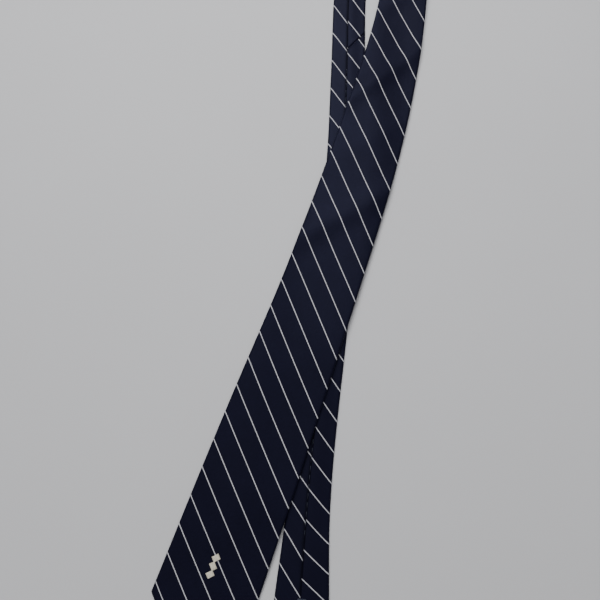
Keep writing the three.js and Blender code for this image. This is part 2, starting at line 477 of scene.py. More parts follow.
@dataclass
class Surface:
    """Vertices and faces of one piece, with what its finish reads.

    Attributes:
        points: One row for each vertex, in millimetres.
        faces: Corner lists.
        fields: Named values for each vertex: one number, or rows of three.
    """

    points: Array
    faces: list[tuple[int, ...]]
    fields: dict[str, Array] = field(default_factory=dict)

    @staticmethod
    def joined(parts: Sequence[Surface]) -> Surface:
        """Join several surfaces into one."""
        faces: list[tuple[int, ...]] = []
        start = 0
        for part in parts:
            faces += [tuple(k + start for k in face) for face in part.faces]
            start += len(part.points)
        names = parts[0].fields
        merged = {name: np.concatenate([part.fields[name] for part in parts]) for name in names}
        return Surface(np.vstack([part.points for part in parts]), faces, merged)


def grid_faces(rows: int, columns: int, wrap: bool = False, flip: bool = False) -> list[tuple[int, ...]]:
    """List the four-cornered faces of a grid of vertices.

    Args:
        rows: Number of rows.
        columns: Vertices in each row.
        wrap: Whether each row closes on itself.
        flip: Whether the faces turn the other way.

    Returns:
        The faces' corners.
    """
    faces = []
    for i in range(rows - 1):
        for j in range(columns if wrap else columns - 1):
            k = (j + 1) % columns
            face = (i * columns + j, i * columns + k, (i + 1) * columns + k, (i + 1) * columns + j)
            faces.append(face[::-1] if flip else face)
    return faces


def closed_faces(rows: int, columns: int) -> list[tuple[int, ...]]:
    """List the faces of a closed sleeve: its wrapped grid, and a cap at each end."""
    faces = grid_faces(rows, columns, wrap=True)
    faces.append(tuple(range(columns))[::-1])
    faces.append(tuple(range((rows - 1) * columns, rows * columns)))
    return faces


def outward(surface: Surface) -> Surface:
    """Turn a closed surface's faces outward."""
    volume = 0.0
    for face in surface.faces:
        a = surface.points[face[0]]
        for j, k in zip(face[1:-1], face[2:]):
            volume += float(a @ np.cross(surface.points[j], surface.points[k]))
    if volume < 0:
        surface.faces = [face[::-1] for face in surface.faces]
    return surface


def tube(points: Array, radius: float | Array, sides: int = 6) -> Surface:
    """Sweep a round section along a path and close both ends.

    Args:
        points: The path, one row each.
        radius: The section's radius, one number or one for each point.
        sides: Corners of the section.

    Returns:
        The closed tube.
    """
    path = np.asarray(points, float)
    tangent = np.gradient(path, axis=0)
    tangent /= np.linalg.norm(tangent, axis=1)[:, None]
    up = np.array([0.0, 0.0, 1.0])
    if abs(tangent @ up).max() > 0.9:
        up = np.array([1.0, 0.0, 0.0])
    right = np.cross(tangent, up)
    right /= np.linalg.norm(right, axis=1)[:, None]
    over = np.cross(right, tangent)
    turn = np.linspace(0, 2 * math.pi, sides, endpoint=False)
    size = np.broadcast_to(np.asarray(radius, float), (len(path),))[:, None, None]
    ring = np.cos(turn)[None, :, None] * right[:, None] + np.sin(turn)[None, :, None] * over[:, None]
    body = (path[:, None] + size * ring).reshape(-1, 3)
    run = np.concatenate([[0.0], np.cumsum(np.linalg.norm(np.diff(path, axis=0), axis=1))])
    along = np.repeat(run, sides)
    around = np.tile(turn / (2 * math.pi), len(path))
    strand = np.stack([along, around, np.zeros_like(along)], 1)
    return outward(Surface(body, closed_faces(len(path), sides), {"strand": strand}))


def make_object(name: str, surface: Surface, material: bpy.types.Material) -> bpy.types.Object:
    """Write a surface as a smooth-shaded object in metres.

    Args:
        name: The piece's name.
        surface: What it is made of.
        material: Its finish.

    Returns:
        The new object, linked to the scene.
    """
    mesh = bpy.data.meshes.new(name)
    mesh.from_pydata((surface.points * MM).tolist(), [], surface.faces)
    for key, values in surface.fields.items():
        kind, channel = ("FLOAT_VECTOR", "vector") if values.ndim == 2 else ("FLOAT", "value")
        attribute = mesh.attributes.new(key, kind, "POINT")
        attribute.data.foreach_set(channel, values.astype(np.float32).ravel())
    mesh.materials.append(material)
    mesh.shade_smooth()
    mesh.validate()
    piece = bpy.data.objects.new(name, mesh)
    bpy.context.scene.collection.objects.link(piece)
    LOG.info("%s: %d vertices", name, len(mesh.vertices))
    return piece


def thicken(piece: bpy.types.Object, thickness: float) -> None:
    """Give an open sheet its cloth's thickness, half on each side."""
    solid = piece.modifiers.new("cloth thickness", "SOLIDIFY")
    solid.thickness = thickness * MM
    solid.offset = 0.0
    solid.use_even_offset = False


# ------------------------------------------------------------------ shader wiring


class Wire:
    """A shader socket that can be used in sums."""

    def __init__(self, graph: Graph, socket: bpy.types.NodeSocket | None) -> None:
        """Wrap a socket of a graph."""
        self.graph = graph
        self.socket = socket

    def _math(self, operation: str, first: Wire | float, second: Wire | float) -> Wire:
        """Add a Math node."""
        return self.graph.node("ShaderNodeMath", {"operation": operation}, {0: first, 1: second})

    def __add__(self, other: Wire | float) -> Wire:
        """Add."""
        return self._math("ADD", self, other)

    def __radd__(self, other: float) -> Wire:
        """Add, reflected."""
        return self._math("ADD", other, self)

    def __sub__(self, other: Wire | float) -> Wire:
        """Subtract."""
        return self._math("SUBTRACT", self, other)

    def __rsub__(self, other: float) -> Wire:
        """Subtract, reflected."""
        return self._math("SUBTRACT", other, self)

    def __mul__(self, other: Wire | float) -> Wire:
        """Multiply."""
        return self._math("MULTIPLY", self, other)

    def __rmul__(self, other: float) -> Wire:
        """Multiply, reflected."""
        return self._math("MULTIPLY", other, self)

    def __truediv__(self, other: Wire | float) -> Wire:
        """Divide."""
        return self._math("DIVIDE", self, other)

    def __abs__(self) -> Wire:
        """Absolute value."""
        return self.graph.node("ShaderNodeMath", {"operation": "ABSOLUTE"}, {0: self})


Input = Wire | float | tuple[float, ...]


class Graph:
    """The node tree of one material."""

    def __init__(self, name: str) -> None:
        """Start an empty material."""
        self.material = bpy.data.materials.new(name)
        self.material.use_nodes = True
        self.tree = self.material.node_tree
        self.tree.nodes.clear()

    def node(
        self,
        kind: str,
        settings: dict[str, object] | None = None,
        sockets: dict[str | int, Input] | None = None,
        output: str | int = 0,
    ) -> Wire:
        """Add a node.

        Args:
            kind: The node's type.
            settings: Its properties, which are set first.
            sockets: Values or links of its inputs, by name or number.
            output: Which output to use.

        Returns:
            That output, wrapped.
        """
        made = self.tree.nodes.new(kind)
        for key, value in (settings or {}).items():
            setattr(made, key, value)
        for key, value in (sockets or {}).items():
            if isinstance(value, Wire):
                self.tree.links.new(value.socket, made.inputs[key])
            else:
                made.inputs[key].default_value = value
        return Wire(self, made.outputs[output] if made.outputs else None)

    def number(self, name: str) -> Wire:
        """Read one number that the mesh holds for each vertex."""
        return self.node("ShaderNodeAttribute", {"attribute_name": name}, output="Fac")

    def place(self, name: str) -> Wire:
        """Read three numbers that the mesh holds for each vertex."""
        return self.node("ShaderNodeAttribute", {"attribute_name": name}, output="Vector")

    def axis(self, vector: Wire, which: str) -> Wire:
        """Take one axis of a vector."""
        return self.node("ShaderNodeSeparateXYZ", {}, {0: vector}, output=which)

    def stretched(self, vector: Wire, scale: tuple[float, float, float]) -> Wire:
        """Scale a vector's axes."""
        return self.node("ShaderNodeVectorMath", {"operation": "MULTIPLY"}, {0: vector, 1: scale})

    def noise(self, vector: Wire, scale: float, detail: float = 2.0) -> Wire:
        """Read smooth noise from 0 to 1."""
        return self.node("ShaderNodeTexNoise", {}, {"Vector": vector, "Scale": scale, "Detail": detail})

    def wave(self, phase: Wire) -> Wire:
        """Read a sine of a phase in turns."""
        return self.node("ShaderNodeMath", {"operation": "SINE"}, {0: phase * (2 * math.pi)})

    def clamped(self, value: Wire) -> Wire:
        """Keep a value from 0 to 1."""
        return self.node("ShaderNodeClamp", {}, {0: value})

    def blend(self, share: Wire | float, first: Input, second: Input) -> Wire:
        """Mix two colours."""
        settings = {"data_type": "RGBA", "clamp_factor": True}
        return self.node("ShaderNodeMix", settings, {0: share, 6: first, 7: second}, output=2)

    def bump(self, height: Wire, distance: float, strength: float = 1.0) -> Wire:
        """Turn a height from 0 to 1 into a normal; distance is that height in millimetres."""
        sockets = {"Height": height, "Distance": distance * MM, "Strength": strength}
        return self.node("ShaderNodeBump", {}, sockets)

    def finish(self, sockets: dict[str, Input]) -> bpy.types.Material:
        """End the tree in a principled shader.

        Args:
            sockets: Values or links of the shader's inputs.

        Returns:
            The finished material.
        """
        shader = self.node("ShaderNodeBsdfPrincipled", {}, sockets)
        self.node("ShaderNodeOutputMaterial", {}, {"Surface": shader})
        return self.material


Colour = tuple[float, float, float, float]


def rgb(red: float, green: float, blue: float) -> Colour:
    """A colour in linear light."""
    return (red, green, blue, 1.0)


# ------------------------------------------------------------------ finishes


@dataclass(frozen=True)
class StripedSilk:
    """Navy silk twill with fine silver stripes in raised satin floats.

    Attributes:
        ground: Colour of the ground.
        ground_light: Colour where the twill catches the light.
        stripe: Colour of the stripe.
        stripe_shade: Colour between the stripe's floats.
        half_stripe: Half the stripe's width.
        twill: Twill lines in each millimetre.
    """

    ground: Colour = rgb(0.0015, 0.0013, 0.0033)
    ground_light: Colour = rgb(0.0060, 0.0058, 0.0170)
    stripe: Colour = rgb(0.59, 0.59, 0.61)
    stripe_shade: Colour = rgb(0.25, 0.25, 0.28)
    half_stripe: float = 0.43
    twill: float = 2.2

    def material(self) -> bpy.types.Material:
        """Build the finish."""
        g = Graph("striped_silk")
        weave = g.place("weave")
        across, along = g.axis(weave, "X"), g.axis(weave, "Y")
        fray = g.noise(g.stretched(weave, (1.0, 0.9, 0.0)), 3.5) - 0.5
        turns = g.number("stripe")
        inside = g.node("ShaderNodeMath", {"operation": "PINGPONG"}, {0: turns, 1: 0.5}) * STRIPE_PITCH
        mask = g.clamped((self.half_stripe + fray * 0.12 - inside) / 0.14)

        twill = g.wave((across * 0.62 + along) * self.twill) * 0.5 + 0.5
        floats = g.wave(along * self.twill + across * 0.5) * 0.5 + 0.5
        fibre = g.noise(g.stretched(weave, (5.0, 0.35, 0.0)), 1.0, 3.0)
        cloud = g.noise(g.stretched(weave, (1.0, 1.0, 0.0)), 0.035, 3.0)
        slub = g.noise(g.stretched(weave, (0.22, 0.9, 0.0)), 1.0, 3.0)
        glow = g.clamped(twill * 0.3 + fibre * 0.35 + cloud * 0.35 + slub * 0.4 - 0.25)
        # the ground is a little lighter along the folded edges
        paler_edge = g.number("edge") * 0.15
        # painted shade along the centre seam: darkens the ground and the stripes beside the upper flap's edge
        painted_seam_shade = g.number("painted_seam_shade") * 0.65
        ground = g.blend(g.clamped(glow + paler_edge - painted_seam_shade), self.ground, self.ground_light)
        lit = g.blend(floats * 0.55 + fibre * 0.45, self.stripe_shade, self.stripe)
        thread = g.blend(painted_seam_shade, lit, self.ground_light)
        relief = twill * (1 - mask) * 0.55 + mask * (0.55 + floats * 0.45)
        return g.finish(
            {
                "Base Color": g.blend(mask, ground, thread),
                "Roughness": 0.54 - glow * 0.08 + painted_seam_shade * 0.3,
                "Normal": g.bump(relief, 0.06, 0.75),
                "Specular IOR Level": 0.105,
                "Specular Tint": rgb(0.54, 0.58, 1.0),
                "Anisotropic": 0.3,
                "Sheen Weight": 0.02,
                "Sheen Roughness": 0.35,
                "Sheen Tint": rgb(0.55, 0.62, 0.9),
            }
        )


@dataclass(frozen=True)
class PlainWeave:
    """A plain cloth with crossing threads.

    Attributes:
        name: The material's name.
        dark: Colour between the threads.
        light: Colour of the threads.
        pitch: Distance between two threads.
        depth: How far the threads stand proud.
        roughness: How matt it is.
        sheen: Strength of its soft sheen.
        satin: How much longer the threads float one way.
    """

    name: str
    dark: Colour
    light: Colour
    pitch: float
    depth: float
    roughness: float
    sheen: float = 0.1
    satin: float = 1.0

    def material(self) -> bpy.types.Material:
        """Build the finish."""
        g = Graph(self.name)
        weave = g.place("weave")
        across, along = g.axis(weave, "X"), g.axis(weave, "Y")
        ribs = g.wave(across / self.pitch) * g.wave(along / (self.pitch * self.satin)) * 0.5 + 0.5
        fibre = g.noise(g.stretched(weave, (3.0, 0.6, 0.0)), 1.0, 4.0)
        tone = g.clamped(ribs * 0.5 + fibre * 0.6 - 0.05)
        return g.finish(
            {
                "Base Color": g.blend(tone, self.dark, self.light),
                "Roughness": self.roughness + fibre * 0.08,
                "Normal": g.bump(ribs * 0.6 + fibre * 0.4, self.depth, 0.6),
                "Sheen Weight": self.sheen,
                "Sheen Roughness": 0.4,
                "Specular IOR Level": 0.35,
            }
        )


@dataclass(frozen=True)
class BorderedLabel:
    """A blank woven label with a plain woven frame.

    Attributes:
        ground: Colour of the ground.
        ground_light: Colour where its ribs catch the light.
        border: Colour of the frame.
        frame: Distance of the frame from the edge.
        line: Width of the frame.
    """

    ground: Colour = rgb(0.010, 0.013, 0.026)
    ground_light: Colour = rgb(0.020, 0.026, 0.048)
    border: Colour = rgb(0.45, 0.44, 0.42)
    frame: float = 1.6
    line: float = 0.35

    def material(self) -> bpy.types.Material:
        """Build the finish."""
        g = Graph("label_satin")
        weave = g.place("weave")
        ribs = g.wave(g.axis(weave, "Y") * 3.2) * 0.5 + 0.5
        fibre = g.noise(g.stretched(weave, (0.6, 4.0, 0.0)), 1.0, 3.0)
        off = abs(g.axis(weave, "Z") - self.frame)
        mask = g.clamped((self.line - off) / 0.12)
        ground = g.blend(g.clamped(ribs * 0.5 + fibre * 0.5), self.ground, self.ground_light)
        return g.finish(
            {
                "Base Color": g.blend(mask, ground, self.border),
                "Roughness": 0.42 + fibre * 0.1,
                "Normal": g.bump(ribs + mask * 0.6, 0.03, 0.6),
                "Sheen Weight": 0.1,
            }
        )


@dataclass(frozen=True)
class TwistedThread:
    """A spun thread with its plies showing.

    Attributes:
        name: The material's name.
        dark: Colour between the plies.
        light: Colour of the plies.
        lay: Plies in each millimetre.
    """

    name: str
    dark: Colour
    light: Colour
    lay: float = 2.4

    def material(self) -> bpy.types.Material:
        """Build the finish."""
        g = Graph(self.name)
        strand = g.place("strand")
        ply = g.wave(g.axis(strand, "X") * self.lay + g.axis(strand, "Y") * 2.0) * 0.5 + 0.5
        fibre = g.noise(g.stretched(strand, (4.0, 9.0, 0.0)), 1.0, 3.0)
        tone = g.clamped(ply * 0.7 + fibre * 0.4)
        return g.finish(
            {
                "Base Color": g.blend(tone, self.dark, self.light),
                "Roughness": 0.42 + fibre * 0.15,
                "Normal": g.bump(ply, 0.05, 0.7),
                "Sheen Weight": 0.2,
                "Sheen Roughness": 0.3,
            }
        )


@dataclass(frozen=True)
class PaleTable:
    """A plain pale table with a fine matt grain.

    Attributes:
        dark: Colour in the grain.
        light: Colour of the rest.
    """

    dark: Colour = rgb(0.465, 0.465, 0.475)
    light: Colour = rgb(0.525, 0.525, 0.545)

    def material(self) -> bpy.types.Material:
        """Build the finish."""
        g = Graph("pale_table")
        where = g.node("ShaderNodeTexCoord", {}, {}, output="Object")
        grain = g.noise(where, 900.0, 3.0)
        mottle = g.noise(where, 5.0, 3.0)
        tone = g.clamped(grain * 0.45 + mottle * 0.55)
        return g.finish(
            {
                "Base Color": g.blend(tone, self.dark, self.light),
                "Roughness": 0.55 + grain * 0.1,
                "Normal": g.bump(grain, 0.12, 0.35),
                "Specular IOR Level": 0.3,
            }
        )


@dataclass
class Wardrobe:
    """Every finish of the tie, each built once.

    Attributes:
        silk: The striped silk of the shell and the keeper.
        canvas: The wool of the interlining.
        lining: The satin of the tip linings.
        label: The maker's label.
        care: The care label.
        thread: The sewing thread.
        motif: The thread of the motif.
    """

    silk: bpy.types.Material = field(init=False)
    canvas: bpy.types.Material = field(init=False)
    lining: bpy.types.Material = field(init=False)
    label: bpy.types.Material = field(init=False)
    care: bpy.types.Material = field(init=False)
    thread: bpy.types.Material = field(init=False)
    motif: bpy.types.Material = field(init=False)

    def __post_init__(self) -> None:
        """Build the finishes."""
        self.silk = StripedSilk().material()
        self.canvas = PlainWeave(
            "interlining_wool",
            dark=rgb(0.50, 0.46, 0.38),
            light=rgb(0.80, 0.76, 0.67),
            pitch=0.9,
            depth=0.12,
            roughness=0.85,
        ).material()
        self.lining = PlainWeave(
            "tipping_silk",
            dark=rgb(0.008, 0.011, 0.026),
            light=rgb(0.018, 0.024, 0.052),
            pitch=0.3,
            depth=0.03,
            roughness=0.34,
            sheen=0.15,
            satin=4.0,
        ).material()
        self.label = BorderedLabel().material()
        self.care = PlainWeave(
            "care_satin",
            dark=rgb(0.62, 0.61, 0.58),
            light=rgb(0.84, 0.83, 0.80),
            pitch=0.28,
            depth=0.03,
            roughness=0.45,
            satin=3.0,
        ).material()
        navy = TwistedThread("navy_thread", rgb(0.010, 0.013, 0.030), rgb(0.035, 0.045, 0.085))
        cream = TwistedThread("motif_thread", rgb(0.42, 0.38, 0.29), rgb(0.74, 0.70, 0.58))
        self.thread, self.motif = navy.material(), cream.material()


# ------------------------------------------------------------------ the silk shell


@dataclass(frozen=True)
class BiasCut:
    """A slanting end of a panel, where it is joined to the next.

    Attributes:
        distance: Where the cut crosses the middle of the face.
        slope: How far the cut runs along the leg for each millimetre across the flat cloth.
        reach: Over this length the rows turn from square to slanting.
        room: Half of the line where the two panels meet.
    """

    distance: float
    slope: float
    reach: float = 150.0
    room: float = 0.12

    def rows(self, distance: Array, flat_u: Array) -> Array:
        """Slant the rows more the nearer they are to the cut."""
        share = 1 - np.clip(np.abs(distance - self.distance) / self.reach, 0.0, 1.0)
        return distance + self.slope * flat_u * share


TAIL_JOIN = BiasCut(distance=549.0, slope=-1.1)
BLADE_JOIN = BiasCut(distance=712.0, slope=1.1, reach=60.0)


@dataclass(frozen=True)
class FoldedPanel:
    """One cut panel of silk, folded round the interlining with its two flaps crossing at the back.

    Attributes:
        law: How its stripes run.
        counted_from: Where its stripes are counted back from; 0 counts them from the leg's own tip.
        overlap: How far the flaps pass over each other.
        seam: Offset of the visible seam edge.
        hem: Width of the turned edge of a tip.
        edge_curve: How far the pressed edge rounds in from the side.
        squareness: How square the pressed edge is.
        crown: How far the middle of the face stands proud of its edges.
        flap_columns: Columns of the mesh on each flap.
        bend_columns: Columns of the mesh round each folded edge.
        face_columns: Columns of the mesh on the face.
    """

    law: StripeLaw
    counted_from: float = 0.0
    overlap: float = 6.0
    seam: float = SEAM_EDGE
    hem: float = 14.0
    edge_curve: float = 2.8
    squareness: float = 2.4
    crown: float = 0.3
    flap_columns: int = 15
    bend_columns: int = 9
    face_columns: int = 40

    @property
    def columns(self) -> int:
        """Columns of the whole mesh."""
        return 2 * self.flap_columns + 2 * self.bend_columns + self.face_columns

    def flap_edge(self, leg: Leg, distance: Array) -> Array:
        """Half the width of the opening between the flaps, negative where they cross."""
        in_tip = np.maximum(leg.half(distance) - self.hem, 0.12)
        at_corner = leg.half(np.array(leg.corner)) - self.hem
        share = np.clip((distance - leg.corner) / (leg.opening - leg.corner), 0.0, 1.0)
        return np.where(distance <= leg.corner, in_tip, mix(at_corner, -self.overlap / 2, share))

    def section(self, leg: Leg, distance: Array) -> tuple[Array, Array, Array]:
        """Work out the folded outline of the cloth at each distance.

        Args:
            leg: The leg that the panel is on.
            distance: One distance for each row.

        Returns:
            Offsets, depths and sides (-1 and 1 on the flaps, 0 on the face), with a row for each distance.
        """
        d = distance[:, None]
        half = leg.half(d)
        past_lining = 28.0
        over_lining = 1 - smoothstep(d, leg.hinge, leg.hinge + past_lining)
        # The point is too narrow for the full sizes, so there each is a share of the half width.
        face = LAYERS.face + np.minimum(self.crown, half * 0.05)
        rise = np.minimum((mix(LAYERS.flap, LAYERS.tip_flap, over_lining) - face) / 2, half * 0.42)
        curve = np.minimum(self.edge_curve, half * 0.4)
        inner = half - curve - LAYERS.silk / 2
        flap = face + 2 * rise
        edge = np.minimum(self.flap_edge(leg, d), inner * 0.8)
        crossed = np.where(d > leg.corner, 1 - smoothstep(edge, 0.5, 5), 0.0)
        shift = crossed * (self.overlap / 2 + self.seam)

        run = np.linspace(0.0, 1.0, self.flap_columns)[None]
        angle = np.linspace(0.0, math.pi, self.bend_columns + 2)[None, 1:-1]
        span = np.linspace(-1.0, 1.0, self.face_columns)[None]
        curl_height, curl_width, lap_width = 0.12, 4.0, 17.0
        curl = curl_height * (1 - smoothstep(run * inner, 0, curl_width)) * (1 - crossed)
        power = 2 / self.squareness

        left_u = mix(-edge + shift, -inner, run)
        bend_u = -(inner + curve * np.sin(angle) ** power)
        bend_depth = face + rise + rise * np.sign(np.cos(angle)) * np.abs(np.cos(angle)) ** power
        face_depth = LAYERS.face + (face - LAYERS.face) * span**4
        right_u = mix(inner, edge + shift, run)
        lift = 1 - smoothstep(right_u / np.minimum(inner, lap_width), 0.1, 1.0)
        right_depth = flap + LAYERS.step * crossed * lift + curl[:, ::-1]

        u = np.hstack([left_u, bend_u, span * inner, -bend_u[:, ::-1], right_u])
        depth = np.hstack([flap + curl, bend_depth, face_depth, bend_depth[:, ::-1], right_depth])
        turned = self.flap_columns + self.bend_columns // 2
        side = np.ones(self.columns)
        side[:turned] = -1
        side[turned : self.columns - turned] = 0
        return u, depth, np.broadcast_to(side, u.shape)

    def painted_seam_shade(self, leg: Leg, distance: Array, u: Array, side: Array) -> Array:
        """Painted shade beside the edge of the upper flap: on the lower flap just under it, and along its
        rim.
        """
        shade_start, shade_width, rim_width = 0.2, 1.1, 0.35
        closed = smoothstep(distance, leg.opening - 4, leg.opening + 10)
        beside = self.seam - u
        near = (side < 0) * (beside > -self.overlap)
        under = np.exp(-((np.maximum(beside - shade_start, 0.0) / shade_width) ** 2)) * near
        rim = np.exp(-((beside / rim_width) ** 2)) * (side > 0)
        return closed * np.maximum(under, rim)

    @staticmethod
    def unfold(leg: Leg, distance: Array, u: Array, side: Array) -> tuple[Array, Array]:
        """Find where a place on a flap lies on the flat cloth, by turning it back over its folded edge."""
        half, lean = leg.half(distance), leg.lean(distance) * side
        size = np.hypot(lean, 1.0)
        across, along = lean / size, 1.0 / size
        off = u - side * half
        inward = off * across
        turned = side != 0
        flat_s = np.where(turned, distance + 2 * inward * along, distance)
        return flat_s, np.where(turned, side * half + 2 * inward * across - off, u)

    def sweep(self, leg: Leg, distance: Array, join: BiasCut) -> Surface:
        """Build the cloth over a range of a leg.

        Args:
            leg: The leg that the panel is on.
            distance: One distance for each row.
            join: The cut that the rows slant towards.

        Returns:
            The open sheet.
        """
        u, depth, side = self.section(leg, distance)
        rows = np.broadcast_to(distance[:, None], u.shape)
        slanted = join.rows(rows, self.unfold(leg, rows, u, side)[1])
        half = leg.half(slanted)
        u = u * half / leg.half(rows)  # a slanted row keeps to the folded edges, though the leg narrows
        flat_s, flat_u = self.unfold(leg, slanted, u, side)
        count = self.count(flat_s, flat_u)
        # band along the folded edges where the ground is coloured a little lighter
        paler_from, paler_to = half - 1.6, half - 0.2
        edge = smoothstep(np.abs(u), paler_from, paler_to)
        warp = flat_s * 0.74 - flat_u * 0.67  # the threads that run along the stripes
        weave = np.stack([count * STRIPE_PITCH, warp, np.zeros_like(count)], -1)
        fields = {
            "stripe": count.ravel(),
            "weave": weave.reshape(-1, 3),
            "edge": edge.ravel(),
            # painted shade beside the upper flap's edge
            "painted_seam_shade": self.painted_seam_shade(leg, slanted, u, side).ravel(),
        }
        points = leg.place(slanted, u, depth).reshape(-1, 3)
        return Surface(points, grid_faces(*u.shape, flip=leg.side is Side.FACE_DOWN), fields)

    def count(self, distance: Array, u: Array) -> Array:
        """Count the stripes on the flat cloth, which is seen from its face."""
        return self.law.count(self.counted_from - distance if self.counted_from else distance, u)

    def flat_area(self, leg: Leg, start: float, end: float) -> float:
        """Area of the flat cloth over a range of a leg, in square metres."""
        at = np.linspace(start, end, 200)
        return area_between(at, 4 * leg.half(at) + self.overlap)


BLADE_PANEL = FoldedPanel(
    StripeLaw(start=22.44, along=-0.04405, easing=5.78e-6, across=-0.04156, shear=-1.09e-5)
)
TAIL_PANEL = FoldedPanel(
    StripeLaw(start=0.952, along=-0.04389, easing=7.54e-6, across=0.04359, shear=0.9e-5)
)
NECK_PANEL = FoldedPanel(
    StripeLaw(start=-19.65, along=-0.03605, easing=0.0, across=0.04827, shear=0.0, origin=520.0)
)


def leg_rows(leg: Leg, end: float) -> Array:
    """Distances of the rows from a tip to a join, close together at the tip's point and by the join."""
    row, near_join, corner_room = 4.0, 45.0, 0.25
    point = np.array([0.35, 1.0, 2.2, 4.0, 6.5])
    tip = np.linspace(9.0, leg.corner - corner_room, max(3, int(leg.corner / 3)))
    count = int((end - leg.corner - near_join) / row)
    above = np.linspace(leg.corner + corner_room, end - near_join, count)
    return np.concatenate([point, tip, above, np.linspace(end - near_join, end, 36)[1:]])


def rows_to_apex(leg: Leg, start: float, row: float) -> Array:
    """Distances of the rows from a place on a leg to the outermost line of the fold, closer in the turn."""
    turn, turn_rows = leg.length - 3, 15
    return np.concatenate([np.arange(start, turn, row), np.linspace(turn, leg.apex, turn_rows)])


def weld_at_apex(rising: Surface, falling: Surface, columns: int, closed: bool) -> Surface:
    """Join the two halves of a piece along the outermost line of the fold.

    Args:
        rising: The half that comes up from the tail.
        falling: The half that comes up from the blade; its last row lies on the first half's last.
        columns: Vertices in each row.
        closed: Whether each row closes on itself.

    Returns:
        One surface.
    """
    order = np.arange(len(falling.points)).reshape(-1, columns)[-2::-1].ravel()
    points = np.vstack([rising.points, falling.points[order]])
    fields = {
        name: np.concatenate([values, falling.fields[name][order]]) for name, values in rising.fields.items()
    }
    rows = len(points) // columns
    if closed:
        return outward(Surface(points, closed_faces(rows, columns), fields))
    return Surface(points, grid_faces(rows, columns, flip=True), fields)


# ------------------------------------------------------------------ hiding the frame's nodes and baking transforms


def stand_for(piece: bpy.types.Object, slot: str, *nodes: str) -> None:
    """Hide the nodes of the frame that a piece stands for."""
    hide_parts(*nodes)


def blend_at_tip(piece: bpy.types.Object, leg: Leg) -> None:
    """Find the ends of the hinge where a tip turns up, and bake a piece's transform into its mesh."""
    bend = 13.0  # on each side of the hinge
    start, end = leg.place([leg.hinge - bend, leg.hinge + bend], 0.0, 0.0) * MM
    start[2] = end[2] = 0.0
    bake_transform(piece)


def blend_at_fold(piece: bpy.types.Object) -> None:
    """Bake a piece's transform into its mesh."""
    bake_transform(piece)


@dataclass(frozen=True)
class Shell:
    """The three panels of silk that make the tie's outside.

    Attributes:
        silk: Their finish.
        blade_cut: Width and length of the blade's flat cut.
        tail_cut: Width and length of the tail's flat cut.
        neck_cut: Width and length of the neck's flat cut.
    """

    silk: bpy.types.Material
    blade_cut: tuple[float, float] = (182.0, 750.0)
    tail_cut: tuple[float, float] = (100.0, 590.0)
    neck_cut: tuple[float, float] = (72.0, 330.0)

    def _dress(
        self, name: str, surface: Surface, cut: tuple[float, float], nodes: Sequence[str]
    ) -> bpy.types.Object:
        """Make a panel's object, give it the silk's thickness and hide the frame's nodes that it stands for.

        Args:
            name: The piece's name.
            surface: Its open sheet.
            cut: Width and length of the flat cut; not used.
            nodes: The frame's nodes that it stands for.

        Returns:
            The panel.
        """
        piece = make_object(name, surface, self.silk)
        thicken(piece, LAYERS.silk)
        stand_for(piece, "striped_silk", *nodes)
        cut[0] * MM
        cut[1] * MM
        return piece

    def _leg(self, leg: Leg, panel: FoldedPanel, join: BiasCut, cut: tuple[float, float]) -> None:
        """Make the panel of one leg, from its tip to its join."""
        surface = panel.sweep(leg, leg_rows(leg, join.distance - join.room), join)
        area = panel.flat_area(leg, 0, join.distance)
        nodes = [f"{leg.body}_shell", f"{leg.body}_tip_shell"]
        blend_at_tip(self._dress(f"{leg.body}_panel", surface, cut, nodes), leg)

    def blade(self) -> None:
        """Make the front blade's panel."""
        self._leg(BLADE, BLADE_PANEL, BLADE_JOIN, self.blade_cut)

    def tail(self) -> None:
        """Make the tail's panel."""
        self._leg(TAIL, TAIL_PANEL, TAIL_JOIN, self.tail_cut)

    def neck(self) -> None:
        """Make the neck's panel, which runs over the fold from the tail to the blade."""
        past_fold = replace(NECK_PANEL, counted_from=TAIL.apex + BLADE.apex)
        rise = rows_to_apex(TAIL, TAIL_JOIN.distance + TAIL_JOIN.room, 2.2)
        fall = rows_to_apex(BLADE, BLADE_JOIN.distance + BLADE_JOIN.room, 3.5)
        surface = weld_at_apex(
            NECK_PANEL.sweep(TAIL, rise, TAIL_JOIN),
            past_fold.sweep(BLADE, fall, BLADE_JOIN),
            NECK_PANEL.columns,
            closed=False,
        )
        area = NECK_PANEL.flat_area(TAIL, TAIL_JOIN.distance, TAIL.apex)
        area += NECK_PANEL.flat_area(BLADE, BLADE_JOIN.distance, BLADE.apex)
        nodes = ["neck_shell_tail_side", "neck_shell_blade_side"]
        blend_at_fold(self._dress("neck_panel", surface, self.neck_cut, nodes))


# ------------------------------------------------------------------ inner layers


